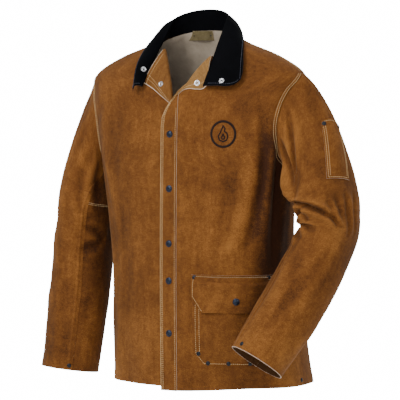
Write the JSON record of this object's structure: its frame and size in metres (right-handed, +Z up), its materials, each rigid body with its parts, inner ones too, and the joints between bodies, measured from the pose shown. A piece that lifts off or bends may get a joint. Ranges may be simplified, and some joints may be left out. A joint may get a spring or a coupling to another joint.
{
  "type": "leather welding jacket",
  "caption": "Snap-front suede leather work jacket with a turned-down smooth collar, two-piece sleeves, a flapped patch pocket and a pencil pocket on the upper sleeve.",
  "frame": {"origin": "centre of the neck opening, level with the seam that joins collar and shoulders", "axes": "+Z up along the body, the front faces -Y, the wearer's left is +X"},
  "size_m": [0.7739, 0.4428, 0.8208],
  "materials": {
    "suede": "rough split cowhide, napped",
    "pigskin": "smooth black pigskin",
    "lining": "plain woven cotton",
    "rivet": "black, satin",
    "snap_cap": "gunmetal, satin",
    "snap_ring": "bright nickel"
  },
  "bodies": {
    "shell": {"back_panel": "suede", "right_front_panel": "suede", "left_front_panel": "suede", "yoke_lining": "lining", "collar_stand": "pigskin", "collar_back_fall": "pigskin", "right_front_facing": "suede", "left_lapel_facing": "suede", "lapel_snaps": "snap_ring", "hanger_loop": "suede", "hanger_loop_rivets": "rivet", "pocket_bag": "suede", "pocket_rivets": "rivet", "pocket_snap_stud": "snap_cap", "front_snap_studs": "snap_cap", "hem_rivets": "rivet"},
    "placket": {"left_front_edge": "suede", "placket_band": "suede", "placket_facing": "suede", "front_snap_caps": "snap_cap", "front_snap_sockets": "snap_ring"},
    "flap": {"pocket_flap": "suede", "flap_snap_cap": "snap_cap", "flap_snap_socket": "snap_ring"},
    "collar_left": {"left_collar_fall": "pigskin", "left_under_collar": "pigskin", "left_collar_snap": "snap_ring"},
    "collar_right": {"right_collar_fall": "pigskin", "right_under_collar": "pigskin", "right_collar_snap": "snap_ring"},
    "left_upper_sleeve": {"left_upper_top": "suede", "left_upper_under": "suede", "pencil_pocket": "suede", "pencil_pocket_rivets": "rivet"},
    "right_upper_sleeve": {"right_upper_top": "suede", "right_upper_under": "suede"},
    "left_forearm": {"left_forearm_top": "suede", "left_forearm_under": "suede", "left_cuff_rivet": "rivet"},
    "right_forearm": {"right_forearm_top": "suede", "right_forearm_under": "suede", "right_cuff_rivet": "rivet"}
  },
  "joints": [
    {"name": "front_edge_fold", "type": "hinge", "parent": "shell", "child": "placket", "pos_m": [0.027, -0.1125, -0.43], "axis": [0, 0, 1], "range_deg": [0, 110]},
    {"name": "pocket_flap_fold", "type": "hinge", "parent": "shell", "child": "flap", "pos_m": [0.15829, -0.09026, -0.494], "axis": [-0.8763, -0.4818, 0], "range_deg": [0, 20]},
    {"name": "collar_left_lift", "type": "hinge", "parent": "shell", "child": "collar_left", "pos_m": [0.063, 0.024, 0.054], "axis": [0.0895, -0.6525, -0.7525], "range_deg": [0, 75]},
    {"name": "collar_right_lift", "type": "hinge", "parent": "shell", "child": "collar_right", "pos_m": [-0.077, 0.024, 0.054], "axis": [0.0158, 0.655, 0.7554], "range_deg": [0, 70]},
    {"name": "left_shoulder_raise", "type": "hinge", "parent": "shell", "child": "left_upper_sleeve", "pos_m": [0.26, 0.005, -0.058], "axis": [0, -1, 0], "range_deg": [0, 30]},
    {"name": "right_shoulder_raise", "type": "hinge", "parent": "shell", "child": "right_upper_sleeve", "pos_m": [-0.26, 0.005, -0.058], "axis": [0, 1, 0], "range_deg": [0, 30]},
    {"name": "left_elbow_straighten", "type": "hinge", "parent": "left_upper_sleeve", "child": "left_forearm", "pos_m": [0.38708, 0.04179, -0.38114], "axis": [0.5671, -0.795, 0.2152], "range_deg": [0, 35]},
    {"name": "right_elbow_bend", "type": "hinge", "parent": "right_upper_sleeve", "child": "right_forearm", "pos_m": [-0.293, -0.08091, -0.41628], "axis": [-0.9939, 0.0052, 0.1101], "range_deg": [0, 45]}
  ]
}
